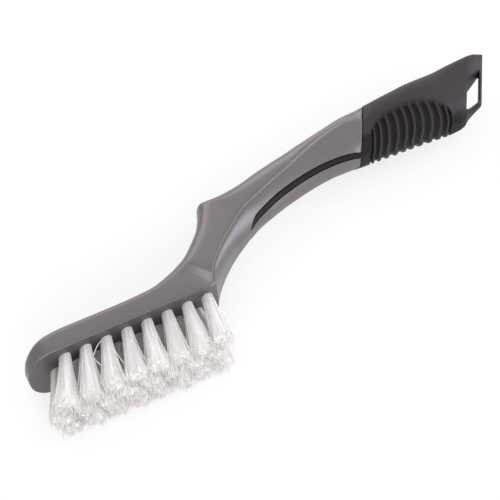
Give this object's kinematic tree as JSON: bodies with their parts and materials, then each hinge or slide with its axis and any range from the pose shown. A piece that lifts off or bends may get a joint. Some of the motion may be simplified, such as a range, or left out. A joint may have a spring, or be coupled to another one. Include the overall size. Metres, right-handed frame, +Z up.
{
  "type": "wheel rim brush",
  "caption": "Hand brush with stapled nylon tufts on a flat head, a cranked neck, a ribbed soft grip and a hang slot in the tail.",
  "frame": {"origin": "on the flat side of the head that the brush lies on, half way along the head", "axes": "+X from the tip of the head towards the tail, +Y away from the bristles, +Z up from the surface that the brush lies on, across its width"},
  "size_m": [0.2702, 0.099, 0.03],
  "materials": {
    "pewter_grey_plastic": "satin, with a fine metallic pigment",
    "black_soft_rubber": "soft matte",
    "white_nylon": "translucent satin filament",
    "anchor_steel": "plain drawn wire"
  },
  "bodies": {
    "root": {"handle_core": "pewter_grey_plastic", "grip_overmould": "black_soft_rubber", "tuft_near_1": "white_nylon", "tuft_near_2": "white_nylon", "tuft_near_3": "white_nylon", "tuft_near_4": "white_nylon", "tuft_near_5": "white_nylon", "tuft_near_6": "white_nylon", "tuft_near_7": "white_nylon", "tuft_near_8": "white_nylon", "tuft_middle_1": "white_nylon", "tuft_middle_2": "white_nylon", "tuft_middle_3": "white_nylon", "tuft_middle_4": "white_nylon", "tuft_middle_5": "white_nylon", "tuft_middle_6": "white_nylon", "tuft_middle_7": "white_nylon", "tuft_middle_8": "white_nylon", "tuft_far_1": "white_nylon", "tuft_far_2": "white_nylon", "tuft_far_3": "white_nylon", "tuft_far_4": "white_nylon", "tuft_far_5": "white_nylon", "tuft_far_6": "white_nylon", "tuft_far_7": "white_nylon", "tuft_far_8": "white_nylon", "anchor_near_1": "anchor_steel", "anchor_near_2": "anchor_steel", "anchor_near_3": "anchor_steel", "anchor_near_4": "anchor_steel", "anchor_near_5": "anchor_steel", "anchor_near_6": "anchor_steel", "anchor_near_7": "anchor_steel", "anchor_near_8": "anchor_steel", "anchor_middle_1": "anchor_steel", "anchor_middle_2": "anchor_steel", "anchor_middle_3": "anchor_steel", "anchor_middle_4": "anchor_steel", "anchor_middle_5": "anchor_steel", "anchor_middle_6": "anchor_steel", "anchor_middle_7": "anchor_steel", "anchor_middle_8": "anchor_steel", "anchor_far_1": "anchor_steel", "anchor_far_2": "anchor_steel", "anchor_far_3": "anchor_steel", "anchor_far_4": "anchor_steel", "anchor_far_5": "anchor_steel", "anchor_far_6": "anchor_steel", "anchor_far_7": "anchor_steel", "anchor_far_8": "anchor_steel"}
  },
  "joints": []
}
